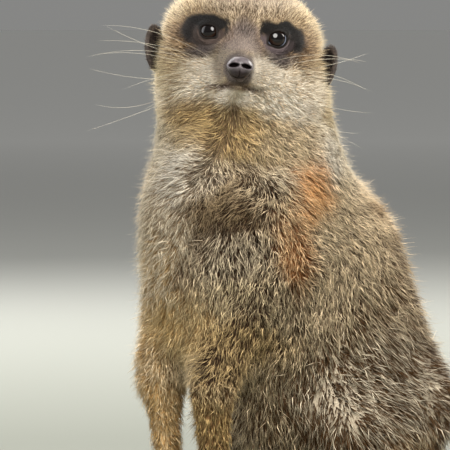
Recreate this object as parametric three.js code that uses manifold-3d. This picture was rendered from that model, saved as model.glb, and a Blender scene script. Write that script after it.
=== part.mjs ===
// A life-size meerkat (Suricata suricatta), sitting on its rump with both forelegs planted,
// its head turned to its left, and its tail laid round its right side.
// Millimetres. +Z is up, the body faces -Y and the animal's left is +X.
//
// The animal is one smooth body, described by a signed distance: negative inside, and zero at
// the tips of the coat. Each named region of it is wrapped with a mesh of its own fineness,
// then trimmed to the region, with a thin gap to the regions beside it.

import * as THREE from "three";
import { mergeVertices } from "three/addons/utils/BufferGeometryUtils.js";
import Module from "manifold-3d";

const wasm = await Module();
wasm.setup();

const GAP = 0.3; // between neighbouring pieces
const FINEST = 0.004; // the shortest edge that is kept
const FLOOR_SINK = 1.2; // how far the body would sink below the floor, which makes its flats
const SIDES = { left: 1, right: -1 };

const HEAD_SEAT = at(4.3, -5.7, 188); // the point midway between the ears
const HEAD_YAW = 46; // degrees, to the animal's left
const HEAD_PITCH = 6; // degrees, nose up
const HEAD_ROLL = 6.5; // degrees, left side down

const EYE = { centre: at(12.7, -23.8, 7), radius: 5.2 };
const NOSE = { centre: at(0, -49.4, -8.6), radii: at(5, 4.6, 4.3) };
const NOSTRIL = { centre: at(2.6, -53.6, -7.4), radii: at(1.5, 2.2, 1.1) };
const EAR = {
  centre: at(34, 0, 1.5),
  radii: at(2.6, 7.5, 10.6),
  flare: 32, // degrees that its front edge stands out from the head
  lean: 8, // degrees that its top leans out
  cup: 2.6, // depth of the hollow in front
};

const SHOULDER = { centre: at(22, -6, 112), radius: 19 };
const ELBOW = { centre: at(14.6, -31.5, 66), radius: 11.6 };
const FOREARM = { centre: at(13, -29.5, 36), radius: 6.4 };
const WRIST = { centre: at(12.6, -28.6, 15), radius: 5.8 };
const HIP = { centre: at(20, 70, 47), radius: 27 };
const KNEE = { centre: at(34, 24, 42), radius: 15 };
const SHANK = { centre: at(36, 46, 24), radius: 11 };
const HEEL = { centre: at(35, 62, 9), radius: 8 };

// Four toes on each foot, the middle two the longest.
const FOREFOOT = {
  palm: at(12.8, -33, 6),
  palmRadius: 6.4,
  toeRadius: 2.7,
  toeGap: 4.1, // between neighbouring toes' middles
  toeLengths: [12, 15.5, 15.5, 12],
  spread: 5, // degrees between neighbouring toes
  heading: 4, // degrees that the foot points outwards
  toeHeight: 3.2,
  clawLength: 14,
  clawDrop: 11, // degrees that a claw points down from its toe
  clawRadius: 1.35,
};
const HINDFOOT = {
  palm: at(35.5, 20, 5.4),
  palmRadius: 6.4,
  toeRadius: 2.8,
  toeGap: 4.1,
  toeLengths: [13, 17, 17, 13],
  spread: 4,
  heading: 8,
  toeHeight: 3.2,
  clawLength: 9,
  clawDrop: 17,
  clawRadius: 1.2,
};

const TAIL_ROUTE = [
  at(-4, 92, 17),
  at(-14, 113, 10.5),
  at(-38, 125, 6.7),
  at(-62, 112, 5.8),
  at(-72, 84, 5.2),
  at(-71, 52, 4.6),
  at(-64, 22, 4),
  at(-54, -2, 2.2),
];
const TAIL_RADII = [13, 9.2, 7.2, 6.4, 5.8, 5.2, 4.6, 2.6]; // at the route's points
const TAIL_NAMES = ["tail_base", "tail_middle", "tail_tip"];

const COLOURS = {
  coat: 0x9c8a6b,
  head: 0xb5a78c,
  chest: 0xb3ab9b,
  legs: 0xa58a5f,
  tailTip: 0x33291f,
  ear: 0x2b241f,
  eye: 0x1b120c,
  nose: 0x4a4247,
  claw: 0x3a322b,
};

function at(x, y, z) {
  return new THREE.Vector3(x, y, z);
}

const toRadians = THREE.MathUtils.degToRad;

// ---- Signed distances ----

// A bar with round ends whose radius changes evenly from a to b.
function bar(a, radiusA, b, radiusB) {
  const along = b.clone().sub(a);
  const lengthSq = along.lengthSq();
  return (p) => {
    const x = p.x - a.x;
    const y = p.y - a.y;
    const z = p.z - a.z;
    const share = (x * along.x + y * along.y + z * along.z) / lengthSq;
    const t = Math.min(1, Math.max(0, share));
    const away = Math.hypot(x - t * along.x, y - t * along.y, z - t * along.z);
    return away - (radiusA + t * (radiusB - radiusA));
  };
}

function limb(from, to) {
  return bar(from.centre, from.radius, to.centre, to.radius);
}

function egg(centre, radii) {
  return (p) => {
    const x = (p.x - centre.x) / radii.x;
    const y = (p.y - centre.y) / radii.y;
    const z = (p.z - centre.z) / radii.z;
    const near = Math.hypot(x, y, z);
    const steep = Math.hypot(x / radii.x, y / radii.y, z / radii.z);
    return steep > 0 ? (near * (near - 1)) / steep : -Math.min(...radii);
  };
}

function softMin(a, b, softness) {
  const h = Math.max(softness - Math.abs(a - b), 0) / softness;
  return Math.min(a, b) - (h * h * softness) / 4;
}

function blend(softness, ...shapes) {
  return (p) =>
    shapes.map((shape) => shape(p)).reduce((a, b) => softMin(a, b, softness));
}

function carve(softness, shape, hollow) {
  return (p) => -softMin(-shape(p), hollow(p), softness);
}

// The same shape on the left and on the right.
function bothSides(shape) {
  return (p) => shape({ x: Math.abs(p.x), y: p.y, z: p.z });
}

// ---- The body's own form ----

// Each toe's knuckle, tip and heading, on the left foot.
function toesOf(foot) {
  return foot.toeLengths.map((length, i) => {
    const place = i - (foot.toeLengths.length - 1) / 2;
    const turn = toRadians(foot.heading + place * foot.spread);
    const heading = at(Math.sin(turn), -Math.cos(turn), 0);
    const knuckle = foot.palm.clone();
    knuckle.x += place * foot.toeGap * 0.8;
    const tip = knuckle.clone().addScaledVector(heading, length);
    knuckle.z = foot.toeHeight + 1.4;
    tip.z = foot.toeHeight - 0.6;
    return { knuckle, tip, turn };
  });
}

function footShape(foot) {
  const toes = toesOf(foot).map(({ knuckle, tip }) =>
    bar(knuckle, foot.toeRadius + 0.8, tip, foot.toeRadius),
  );
  return blend(1.6, ...toes);
}

const palmOf = (foot) => ({ centre: foot.palm, radius: foot.palmRadius });

const foreleg = blend(
  5,
  limb(SHOULDER, ELBOW),
  limb(ELBOW, FOREARM),
  limb(FOREARM, WRIST),
  limb(WRIST, palmOf(FOREFOOT)),
);
const hindleg = blend(
  7,
  limb(HIP, KNEE),
  limb(KNEE, SHANK),
  limb(SHANK, HEEL),
  limb(HEEL, palmOf(HINDFOOT)),
);
const legs = bothSides(
  blend(
    3,
    blend(2, foreleg, footShape(FOREFOOT)),
    blend(2, hindleg, footShape(HINDFOOT)),
  ),
);

const trunk = blend(
  16,
  egg(at(0, -4, 122), at(36, 41, 33)), // chest and withers
  egg(at(0, -8, 95), at(32, 36, 35)), // breast
  egg(at(0, 31, 106), at(40, 47, 40)), // back
  egg(at(0, 46, 77), at(38, 43, 40)), // loins
  egg(at(0, 40, 62), at(40, 44, 44)), // belly
  egg(at(0, 66, 43), at(37, 40, 44)), // rump
);

// The head, in its own frame: the nose points along -Y from between the ears.
const temple = bothSides(egg(at(12.5, 0, 6.5), at(18.5, 24, 19)));
const cheek = bothSides(egg(at(13.5, -5, -10), at(18.5, 20, 19)));
const brow = bothSides(bar(at(4, -21, 14.5), 7, at(17, -15, 14), 7));
const skull = blend(
  8,
  egg(at(0, 1, 2.5), at(31.5, 27, 27)),
  temple,
  cheek,
  bar(at(0, -8, -10), 19, at(0, -26, -11), 9.5), // jaw
);
const snout = blend(
  4,
  bar(at(0, -20, 1), 14, at(0, -46.6, -8.4), 6), // bridge and upper lip
  bar(at(0, -22, -11), 8.5, at(0, -42, -15), 4), // lower jaw and chin
);
const socket = bothSides(egg(at(15.2, -30.5, 7.4), at(8.4, 7, 6.6)));
const headShape = carve(
  4,
  blend(8, blend(6, skull, brow), snout),
  socket,
);

const headFrame = new THREE.Matrix4()
  .makeTranslation(HEAD_SEAT)
  .multiply(new THREE.Matrix4().makeRotationZ(toRadians(HEAD_YAW)))
  .multiply(new THREE.Matrix4().makeRotationX(toRadians(-HEAD_PITCH)))
  .multiply(new THREE.Matrix4().makeRotationY(toRadians(HEAD_ROLL)));
const toHead = headFrame.clone().invert();

const neck = bar(at(3, -2, 167), 34.5, at(1, 2.5, 142), 40);
const localPoint = new THREE.Vector3();
const headAndNeck = (p) => {
  localPoint.set(p.x, p.y, p.z).applyMatrix4(toHead);
  return softMin(headShape(localPoint), neck(p), 9);
};
const body = (p) => {
  const torso = softMin(trunk(p), legs(p), 5);
  return softMin(torso, headAndNeck(p), 12);
};
const worldPoint = new THREE.Vector3();
const bodyFromHead = (p) =>
  body(worldPoint.set(p.x, p.y, p.z).applyMatrix4(headFrame));

// ---- Meshes from distances ----

// Wraps the zero surface of a distance, inside a box, with quads about step across: one point
// for each cell of a grid that the surface crosses, then drawn onto the surface itself.
function wrap(distance, box, step) {
  const size = box.getSize(new THREE.Vector3());
  const [nx, ny, nz] = size.toArray().map((s) => Math.ceil(s / step) + 3);
  const origin = box.min.clone().addScalar(-step * 1.3);
  const place = (i, j, k) =>
    at(origin.x + i * step, origin.y + j * step, origin.z + k * step);
  const inBox = (p) =>
    Math.max(
      box.min.x - p.x,
      p.x - box.max.x,
      box.min.y - p.y,
      p.y - box.max.y,
      box.min.z - p.z,
      p.z - box.max.z,
    );
  const field = (p) => Math.max(distance(p), inBox(p));
  const index = (i, j, k) => (k * ny + j) * nx + i;
  const values = new Float64Array(nx * ny * nz);
  for (let k = 0; k < nz; k++)
    for (let j = 0; j < ny; j++)
      for (let i = 0; i < nx; i++)
        values[index(i, j, k)] = field(place(i, j, k)) || 1e-9;

  const CORNERS = [0, 1, 2, 3, 4, 5, 6, 7].map((c) => [
    c & 1,
    (c >> 1) & 1,
    (c >> 2) & 1,
  ]);
  const EDGES = CORNERS.flatMap((_, c) =>
    [1, 2, 4].filter((bit) => !(c & bit)).map((bit) => [c, c | bit]),
  );
  const points = [];
  const pointOf = new Int32Array(nx * ny * nz).fill(-1);
  for (let k = 0; k < nz - 1; k++)
    for (let j = 0; j < ny - 1; j++)
      for (let i = 0; i < nx - 1; i++) {
        const v = CORNERS.map(([a, b, c]) => values[index(i + a, j + b, k + c)]);
        const crossed = EDGES.filter(([a, b]) => v[a] < 0 !== v[b] < 0);
        if (!crossed.length) continue;
        const mean = at(0, 0, 0);
        for (const [a, b] of crossed) {
          const t = v[a] / (v[a] - v[b]);
          const [from, to] = [a, b].map((c) => at(...CORNERS[c]));
          mean.add(from.lerp(to, t));
        }
        mean.divideScalar(crossed.length).multiplyScalar(step);
        pointOf[index(i, j, k)] = points.length;
        points.push(mean.add(place(i, j, k)));
      }

  const SPAN = 0.05;
  const MOST = 0.4 * step;
  for (const p of points)
    for (let pass = 0; pass < 3; pass++) {
      const slope = at(
        field(p.clone().setX(p.x + SPAN)) - field(p.clone().setX(p.x - SPAN)),
        field(p.clone().setY(p.y + SPAN)) - field(p.clone().setY(p.y - SPAN)),
        field(p.clone().setZ(p.z + SPAN)) - field(p.clone().setZ(p.z - SPAN)),
      ).divideScalar(2 * SPAN);
      const move = -field(p) / Math.max(slope.lengthSq(), 0.25);
      const reach = MOST / Math.max(slope.length() * Math.abs(move), MOST);
      p.addScaledVector(slope, move * reach);
    }

  const faces = [];
  const AXES = [
    [1, 0, 0],
    [0, 1, 0],
    [0, 0, 1],
  ];
  const addQuad = (a, b, c, d) => {
    const [pa, pb, pc, pd] = [a, b, c, d].map((n) => points[n]);
    if (pa.distanceTo(pc) < pb.distanceTo(pd)) faces.push(a, b, c, a, c, d);
    else faces.push(b, c, d, b, d, a);
  };
  for (let k = 1; k < nz - 1; k++)
    for (let j = 1; j < ny - 1; j++)
      for (let i = 1; i < nx - 1; i++)
        AXES.forEach(([a, b, c], axis) => {
          const here = values[index(i, j, k)] < 0;
          if (here === values[index(i + a, j + b, k + c)] < 0) return;
          const [u, w] = [AXES[(axis + 1) % 3], AXES[(axis + 2) % 3]];
          const cell = (m, n) =>
            pointOf[
              index(
                i - m * u[0] - n * w[0],
                j - m * u[1] - n * w[1],
                k - m * u[2] - n * w[2],
              )
            ];
          const ring = [cell(1, 1), cell(0, 1), cell(0, 0), cell(1, 0)];
          if (here) addQuad(...ring);
          else addQuad(...ring.reverse());
        });
  const positions = new Float32Array(points.flatMap((p) => p.toArray()));
  return new THREE.BufferGeometry()
    .setAttribute("position", new THREE.BufferAttribute(positions, 3))
    .setIndex(faces);
}

// ---- Solids ----

function solid(geometry) {
  const bare = geometry.clone();
  bare.deleteAttribute("normal");
  bare.deleteAttribute("uv");
  const merged = mergeVertices(bare, 1e-4);
  return new wasm.Manifold(
    new wasm.Mesh({
      numProp: 3,
      vertProperties: new Float32Array(merged.attributes.position.array),
      triVerts: new Uint32Array(merged.index.array),
    }),
  );
}

// The mesh of a solid. Corners nearer than FINEST become one, which removes the slivers of a cut.
function geometryOf(made) {
  const { vertProperties, triVerts } = made.getMesh();
  const raw = new THREE.BufferGeometry()
    .setAttribute("position", new THREE.BufferAttribute(vertProperties, 3))
    .setIndex(new THREE.BufferAttribute(triVerts, 1));
  const geometry = mergeVertices(raw, FINEST);
  const faces = [];
  for (let i = 0; i < geometry.index.count; i += 3) {
    const [a, b, c] = geometry.index.array.slice(i, i + 3);
    if (a !== b && b !== c && c !== a) faces.push(a, b, c);
  }
  geometry.setIndex(faces);
  geometry.computeVertexNormals();
  return geometry;
}

// The largest piece of what a cut leaves, without stray slivers.
function mainPiece(made) {
  return made
    .decompose()
    .reduce((a, b) => (a.volume() > b.volume() ? a : b));
}

// A cutting block: its middle, its size and its turn about X, then Z, in degrees.
function block(centre, size, turnX = 0, turnZ = 0) {
  return (grow) =>
    new THREE.BoxGeometry(size.x + 2 * grow, size.y + 2 * grow, size.z + 2 * grow)
      .rotateX(toRadians(turnX))
      .rotateZ(toRadians(turnZ))
      .translate(...centre);
}

// An oval plug that reaches in from the side as far as its centre: its radii along Y and Z,
// and its turn about X, in degrees.
function plug(centre, radiusY, radiusZ, turnX) {
  const DEPTH = 60;
  return (grow) =>
    new THREE.CylinderGeometry(1, 1, DEPTH, 12)
      .rotateZ(Math.PI / 2)
      .translate(DEPTH / 2 - grow, 0, 0)
      .scale(1, radiusY + grow, radiusZ + grow)
      .rotateX(toRadians(turnX))
      .translate(...centre);
}

function onSide(side, cutter) {
  if (side === 1) return cutter;
  return (grow) => {
    const made = cutter(grow).scale(-1, 1, 1);
    const order = made.index.array;
    for (let i = 0; i < order.length; i += 3)
      [order[i + 1], order[i + 2]] = [order[i + 2], order[i + 1]];
    return made;
  };
}

const WIDE = 400;
const belowFloor = solid(
  new THREE.BoxGeometry(WIDE, WIDE, WIDE).translate(0, 0, -WIDE / 2),
);

function material(colour, roughness) {
  return new THREE.MeshStandardMaterial({ color: colour, roughness, metalness: 0 });
}

function mesh(name, made, look) {
  const shown = new THREE.Mesh(geometryOf(made), look);
  shown.name = name;
  return shown;
}

// ---- Tail ----

const tailPath = new THREE.CatmullRomCurve3(TAIL_ROUTE);
const tailReach = new THREE.CatmullRomCurve3(
  TAIL_RADII.map((radius, i) => at(i, radius, 0)),
);

// A round bar along one share of the tail, from share a to share b.
function tailPiece(a, b, grow = 0) {
  const ROUND = 9;
  const STEPS = 7;
  const tube = new THREE.CylinderGeometry(1, 1, 1, ROUND, STEPS);
  const places = tube.attributes.position;
  for (let i = 0; i < places.count; i++) {
    const share = a + (b - a) * (places.getY(i) + 0.5);
    const centre = tailPath.getPoint(share);
    const along = tailPath.getTangent(share);
    const across = at(along.y, -along.x, 0).normalize();
    const up = across.clone().cross(along);
    const radius = tailReach.getPoint(share).y + grow;
    centre
      .addScaledVector(across, places.getX(i) * radius)
      .addScaledVector(up, places.getZ(i) * radius);
    places.setXYZ(i, ...centre);
  }
  return solid(tube);
}

// ---- Regions of the body, in the order in which they are cut free ----

const regions = [];
function region(name, cutter, step, colour) {
  regions.push({ name, cutter, step, colour });
}
for (const [sideName, side] of Object.entries(SIDES)) {
  const add = (name, cutter, step, colour) =>
    region(`${name}_${sideName}`, onSide(side, cutter), step, colour);
  add("forefoot", block(at(12.5, -40, 0), at(24, 44, 34)), 3.8, COLOURS.legs);
  add("forearm", block(at(14, -32, 38), at(29, 34, 42), 6), 6, COLOURS.legs);
  add("upper_arm", plug(at(20, -17, 92), 23, 38, -26), 9, COLOURS.coat);
  add("hindfoot", block(at(38, 24, 0), at(24, 66, 23), -3), 4.4, COLOURS.legs);
  add("shank", plug(at(24, 50, 13), 33, 20, 12), 6.3, COLOURS.legs);
  add("thigh", plug(at(22, 50, 50), 44, 32, -8), 9.5, COLOURS.coat);
}
region("neck", block(at(0, 0, 199), at(160, 160, 100), -11), 12, COLOURS.head);
region("chest", block(at(0, -52, 130), at(160, 160, 160), 40), 12, COLOURS.chest);
region("rump", block(at(0, 60, 60), at(240, 240, 240)), 12.5, COLOURS.coat);

const NECK_CUT = { point: at(0, 9, -17), tilt: 40 }; // behind the jaw and the ears
const headBlock = (grow) =>
  new THREE.BoxGeometry(160, 160, 100)
    .translate(0, 0, 50 - grow)
    .rotateX(toRadians(NECK_CUT.tilt))
    .translate(...NECK_CUT.point);

// ---- Claws ----

// A curved, pointed claw that starts at the origin and runs along -Y.
function clawGeometry(length, radius) {
  const claw = new THREE.ConeGeometry(radius, length, 5, 2);
  claw.translate(0, length / 2, 0).rotateX(Math.PI).scale(0.75, 1, 1.15);
  const places = claw.attributes.position;
  for (let i = 0; i < places.count; i++) {
    const share = -places.getY(i) / length;
    places.setZ(i, places.getZ(i) + length * 0.4 * share * (1 - share));
  }
  return claw;
}

function clawsOf(foot, footName, sideName, side) {
  return toesOf(foot).map(({ tip, turn }, i) => {
    const claw = new THREE.Mesh(
      clawGeometry(foot.clawLength, foot.clawRadius),
      material(COLOURS.claw, 0.4),
    );
    claw.name = `${footName}_claw_${sideName}_${i + 1}`;
    const root = tip.clone();
    root.y -= foot.toeRadius * 0.2;
    root.z += 0.9;
    claw.position.set(side * root.x, root.y, root.z);
    claw.rotation.set(toRadians(foot.clawDrop), 0, side * turn, "ZXY");
    claw.updateMatrixWorld();
    return claw;
  });
}

function clawSolid(claw, grow) {
  const wide = 1 + grow / 1.1;
  const made = claw.geometry.clone().scale(wide, 1, wide);
  return solid(made.translate(0, grow, 0).applyMatrix4(claw.matrixWorld));
}

// ---- Build ----

const root = new THREE.Group();
const claws = [];
for (const [sideName, side] of Object.entries(SIDES)) {
  claws.push(...clawsOf(FOREFOOT, "forefoot", sideName, side));
  claws.push(...clawsOf(HINDFOOT, "hindfoot", sideName, side));
}
const clawHoles = wasm.Manifold.union(claws.map((claw) => clawSolid(claw, 1.3 * GAP)));

const headHole = solid(headBlock(GAP).applyMatrix4(headFrame));
const tailHole = tailPiece(0, 0.4, GAP);
let taken = headHole;
for (const { name, cutter, step, colour } of regions) {
  const tool = solid(cutter(0));
  const { min, max } = tool.boundingBox();
  const reach = new THREE.Box3(at(...min), at(...max)).intersect(
    new THREE.Box3(at(-60, -75, -FLOOR_SINK), at(60, 120, 200)),
  );
  const skin = solid(wrap(body, reach.expandByScalar(step * 1.6), step));
  let made = skin.intersect(tool).subtract(taken).subtract(belowFloor);
  if (name.includes("foot")) made = made.subtract(clawHoles);
  if (name === "rump") made = made.subtract(tailHole);
  root.add(mesh(name, mainPiece(made), material(colour, 0.9)));
  taken = taken.add(solid(cutter(GAP)));
}

TAIL_NAMES.forEach((name, i) => {
  const shares = [0.02, 0.4, 0.72, 1];
  const trim = GAP / 400;
  const made = tailPiece(shares[i] + trim, shares[i + 1] - trim).subtract(belowFloor);
  const colour = name === "tail_tip" ? COLOURS.tailTip : COLOURS.coat;
  root.add(mesh(name, made, material(colour, 0.9)));
});

for (const claw of claws) {
  const made = clawSolid(claw, 0).subtract(belowFloor);
  const inverse = claw.matrixWorld.clone().invert();
  claw.geometry = geometryOf(made).applyMatrix4(inverse);
  root.add(claw);
}

// The head's pieces are placed by a group that turns the head.
const head = new THREE.Group();
head.applyMatrix4(headFrame);
root.add(head);

function eggGeometry({ centre, radii }, grow, round = 10, rings = 7) {
  return new THREE.SphereGeometry(1, round, rings)
    .rotateX(Math.PI / 2)
    .scale(radii.x + grow, radii.y + grow, radii.z + grow)
    .translate(...centre);
}

function earGeometry(grow) {
  const ear = new THREE.SphereGeometry(1, 9, 7).rotateX(Math.PI / 2);
  ear.scale(EAR.radii.x + grow, EAR.radii.y + grow, EAR.radii.z + grow);
  const places = ear.attributes.position;
  for (let i = 0; i < places.count; i++) {
    // The outer rim curls forwards round the hollow.
    const share = places.getZ(i) / EAR.radii.z;
    const back = places.getY(i) / EAR.radii.y;
    places.setX(i, places.getX(i) + EAR.cup * (share * share + 0.6 * back * back - 0.5));
  }
  return ear
    .rotateZ(toRadians(EAR.flare))
    .rotateY(toRadians(EAR.lean))
    .translate(...EAR.centre);
}

const headBox = new THREE.Box3(at(-50, -62, -42), at(50, 45, 40));
const skin = solid(wrap(bodyFromHead, headBox, 5.6));
let headSolid = skin.intersect(solid(headBlock(0)));
const nostrils = [];
for (const [sideName, side] of Object.entries(SIDES)) {
  const eyeEgg = {
    centre: at(side * EYE.centre.x, EYE.centre.y, EYE.centre.z),
    radii: at(EYE.radius, EYE.radius, EYE.radius),
  };
  const ear = onSide(side, earGeometry);
  headSolid = headSolid
    .subtract(solid(eggGeometry(eyeEgg, GAP)))
    .subtract(solid(ear(GAP)));
  head.add(mesh(`ear_${sideName}`, solid(ear(0)), material(COLOURS.ear, 0.8)));
  head.add(mesh(`eye_${sideName}`, solid(eggGeometry(eyeEgg, 0)), material(COLOURS.eye, 0.1)));
  nostrils.push(
    solid(
      eggGeometry(
        {
          centre: at(side * NOSTRIL.centre.x, NOSTRIL.centre.y, NOSTRIL.centre.z),
          radii: NOSTRIL.radii,
        },
        0,
        6,
        4,
      ),
    ),
  );
}
headSolid = headSolid.subtract(solid(eggGeometry(NOSE, GAP)));
const nose = solid(eggGeometry(NOSE, 0)).subtract(wasm.Manifold.union(nostrils));
head.add(mesh("head", mainPiece(headSolid), material(COLOURS.head, 0.9)));
head.add(mesh("nose", nose, material(COLOURS.nose, 0.45)));

// The origin is on the floor, under the middle of the whole animal.
const bounds = new THREE.Box3().setFromObject(root, true);
const middle = bounds.getCenter(new THREE.Vector3());
root.position.set(-middle.x, -middle.y, 0);

export default root;
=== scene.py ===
import math

import bpy
import numpy as np
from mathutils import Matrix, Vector, kdtree


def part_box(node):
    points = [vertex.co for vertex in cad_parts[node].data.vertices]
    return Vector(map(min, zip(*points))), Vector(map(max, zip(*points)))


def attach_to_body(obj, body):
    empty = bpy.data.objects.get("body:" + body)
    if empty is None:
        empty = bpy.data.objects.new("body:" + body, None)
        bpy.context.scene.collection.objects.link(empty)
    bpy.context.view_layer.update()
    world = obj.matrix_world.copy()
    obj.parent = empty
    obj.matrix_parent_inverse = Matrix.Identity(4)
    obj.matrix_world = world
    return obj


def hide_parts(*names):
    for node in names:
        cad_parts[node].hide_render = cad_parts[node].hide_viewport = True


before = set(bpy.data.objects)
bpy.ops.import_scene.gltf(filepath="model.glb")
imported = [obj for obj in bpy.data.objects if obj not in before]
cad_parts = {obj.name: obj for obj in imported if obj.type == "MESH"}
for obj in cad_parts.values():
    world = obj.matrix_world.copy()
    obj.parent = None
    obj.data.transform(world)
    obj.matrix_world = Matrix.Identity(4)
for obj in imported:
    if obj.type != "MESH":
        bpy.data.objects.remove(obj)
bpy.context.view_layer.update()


# ---------------------------------------------------------------- the head's place
# The skull carries the eyes, nose and ears, and sets all that is made on the head. Its own frame
# is found from the eyes and the nose: the origin midway between the ears, the nose along -y, the
# animal's left along +x.

def middle_of(node):
    low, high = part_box(node)
    return np.array((low + high) / 2)


def unit(v):
    return v / np.maximum(np.linalg.norm(v, axis=-1, keepdims=True), 1e-12)


MM = 0.001
EYES_AT = np.array([0, -23.8, 7.0])  # midway between the eyes, in the head's frame, in mm
NOSE_AT = np.array([0, -49.4, -8.6])

eye_place = {side: middle_of("eye_" + side) for side in ("left", "right")}
between_eyes = (eye_place["left"] + eye_place["right"]) / 2
down_face = middle_of("nose") - between_eyes
fall = unit(NOSE_AT - EYES_AT)
head_x = unit(eye_place["left"] - eye_place["right"])
head_d = unit(down_face - head_x * (down_face @ head_x))
head_c = np.cross(head_x, head_d)
head_y = fall[1] * head_d - fall[2] * head_c
head_z = fall[2] * head_d + fall[1] * head_c
head_axes = np.array([head_x, head_y, head_z])
head_origin = between_eyes - MM * (EYES_AT @ head_axes)


def in_head(points):
    """Points of the row's frame, in the head's own frame, in millimetres."""
    return (points - head_origin) @ head_axes.T / MM


def from_head(points):
    """Points of the head's own frame, in millimetres, in the row's frame."""
    return np.asarray(points, float) * MM @ head_axes + head_origin


# ---------------------------------------------------------------- skin
# One unbroken skin over the whole animal, of tanned hide on a carved form. It starts as the
# coat's outer form, is drawn in by the depth of the coat, and gets the muzzle, lips, lids, folds
# and toes that lie under it. It hangs on nothing: eyes, nose, ears and claws are set into it.

def alone(*objects):
    bpy.ops.object.select_all(action="DESELECT")
    for thing in objects:
        thing.select_set(True)
    bpy.context.view_layer.objects.active = objects[0]


def apply(piece, kind, **settings):
    modifier = piece.modifiers.new(kind.title(), kind)
    for name, value in settings.items():
        setattr(modifier, name, value)
    alone(piece)
    bpy.ops.object.modifier_apply(modifier=modifier.name)


def all_over(piece, operator, **settings):
    """Runs an operator of edit mode on the whole of a piece."""
    alone(piece)
    bpy.ops.object.mode_set(mode="EDIT")
    bpy.ops.mesh.select_all(action="SELECT")
    operator(**settings)
    bpy.ops.object.mode_set(mode="OBJECT")


def joined(name, nodes):
    """Copies of those nodes of the frame as one piece, merged where they meet."""
    copies = []
    for node in nodes:
        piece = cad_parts[node].copy()
        piece.data = piece.data.copy()
        piece.parent = None
        bpy.context.scene.collection.objects.link(piece)
        copies.append(piece)
    alone(*copies)
    bpy.ops.object.join()
    whole = copies[0]
    whole.name = name
    whole.data.materials.clear()
    for key in list(whole.keys()):
        del whole[key]
    all_over(whole, bpy.ops.mesh.remove_doubles, threshold=0.01 * MM)
    return whole


def smooth_shaded(piece):
    alone(piece)
    bpy.ops.object.shade_smooth()


def rows(things, name, width, kind=float):
    """What each of a mesh's points, edges or triangles has by that name, one row to each."""
    flat = np.empty(width * len(things), kind)
    things.foreach_get(name, flat)
    return flat.reshape(-1, width)


def points_of(piece):
    return rows(piece.data.vertices, "co", 3)


def set_points(piece, points):
    piece.data.vertices.foreach_set("co", points.ravel())
    piece.data.update()


def normals_of(piece):
    return rows(piece.data.vertex_normals, "vector", 3)


def edges_of(piece):
    return rows(piece.data.edges, "vertices", 2, int)


def trios_of(piece):
    piece.data.calc_loop_triangles()
    return rows(piece.data.loop_triangles, "vertices", 3, int)


def spread(values, edges, times, share=0.6):
    """Values at the corners of a mesh, evened out between neighbours that many times."""
    shape = np.shape(values)
    values = np.array(values, float).reshape(shape[0], -1)
    a, b = edges.T
    count = np.maximum(np.bincount(edges.ravel(), minlength=len(values)), 1)
    for _ in range(times):
        for column in values.T:
            total = np.bincount(a, column[b], len(column)) + np.bincount(b, column[a], len(column))
            column += share * (total / count - column)
    return values.reshape(shape)


flesh = [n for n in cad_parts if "claw" not in n and not n.startswith(("eye", "ear", "nose"))]

# Each region's hair: length and width in mm, how far it lifts off the skin in degrees.
HAIR = {
    "head": (4.6, 0.42, 34),
    "neck": (8.5, 0.4, 38),
    "chest": (8.5, 0.42, 40),
    "rump": (10.0, 0.52, 38),
    "upper_arm": (8.0, 0.42, 40),
    "forearm": (5.6, 0.5, 30),
    "forefoot": (2.0, 0.34, 20),
    "thigh": (11.0, 0.58, 38),
    "shank": (6.0, 0.5, 32),
    "hindfoot": (2.0, 0.36, 20),
    "tail_base": (8.0, 0.65, 32),
    "tail_middle": (5.5, 0.65, 28),
    "tail_tip": (5.5, 0.6, 24),
}
regions = list(HAIR)


def areas_of(trios):
    return np.linalg.norm(np.cross(trios[:, 1] - trios[:, 0], trios[:, 2] - trios[:, 0]), axis=1) / 2


def scatter(r, weight, number):
    """Random places on triangles: which each is on, and its shares of the three corners."""
    return r.choice(len(weight), number, p=weight / weight.sum()), r.dirichlet((1, 1, 1), number)


# Points about 3 mm apart all over the flesh, each with its region, tell which region a place is in.
SAMPLE_APART = 3 * MM
r = np.random.default_rng(11)
samples = []
sample_regions = []
for node in flesh:
    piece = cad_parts[node]
    trios = points_of(piece)[trios_of(piece)]
    area = areas_of(trios)
    count = max(200, int(area.sum() / SAMPLE_APART**2))
    picked, share = scatter(r, area, count)
    samples.append(np.einsum("nk,nkd->nd", share, trios[picked]))
    sample_regions += [regions.index(node.replace("_left", "").replace("_right", ""))] * count
samples = np.concatenate(samples)
sample_regions = np.array(sample_regions)


def near_tree(places, numbers):
    """Finds the nearest of some places, each known by its number."""
    made = kdtree.KDTree(len(numbers))
    for number in numbers:
        made.insert(places[number], number)
    made.balance()
    return made


sample_tree = near_tree(samples, range(len(samples)))


def regions_at(points):
    return sample_regions[[sample_tree.find(p)[1] for p in points]]


def ease(value, low, high):
    """0 below low, 1 above high, and an even rise between them."""
    share = np.clip((value - low) / (high - low), 0, 1)
    return share * share * (3 - 2 * share)


def bell(away, width):
    """1 at no distance, falling off on either side over about that width."""
    return np.exp(-((away / width) ** 2))


def blot(points, centre, radii, soft):
    """1 inside an oval, falling to 0 over its soft edge."""
    away = np.linalg.norm((points - np.array(centre)) / np.array(radii), axis=1)
    return ease(1 + soft / 2 - away, 0, soft)


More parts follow.
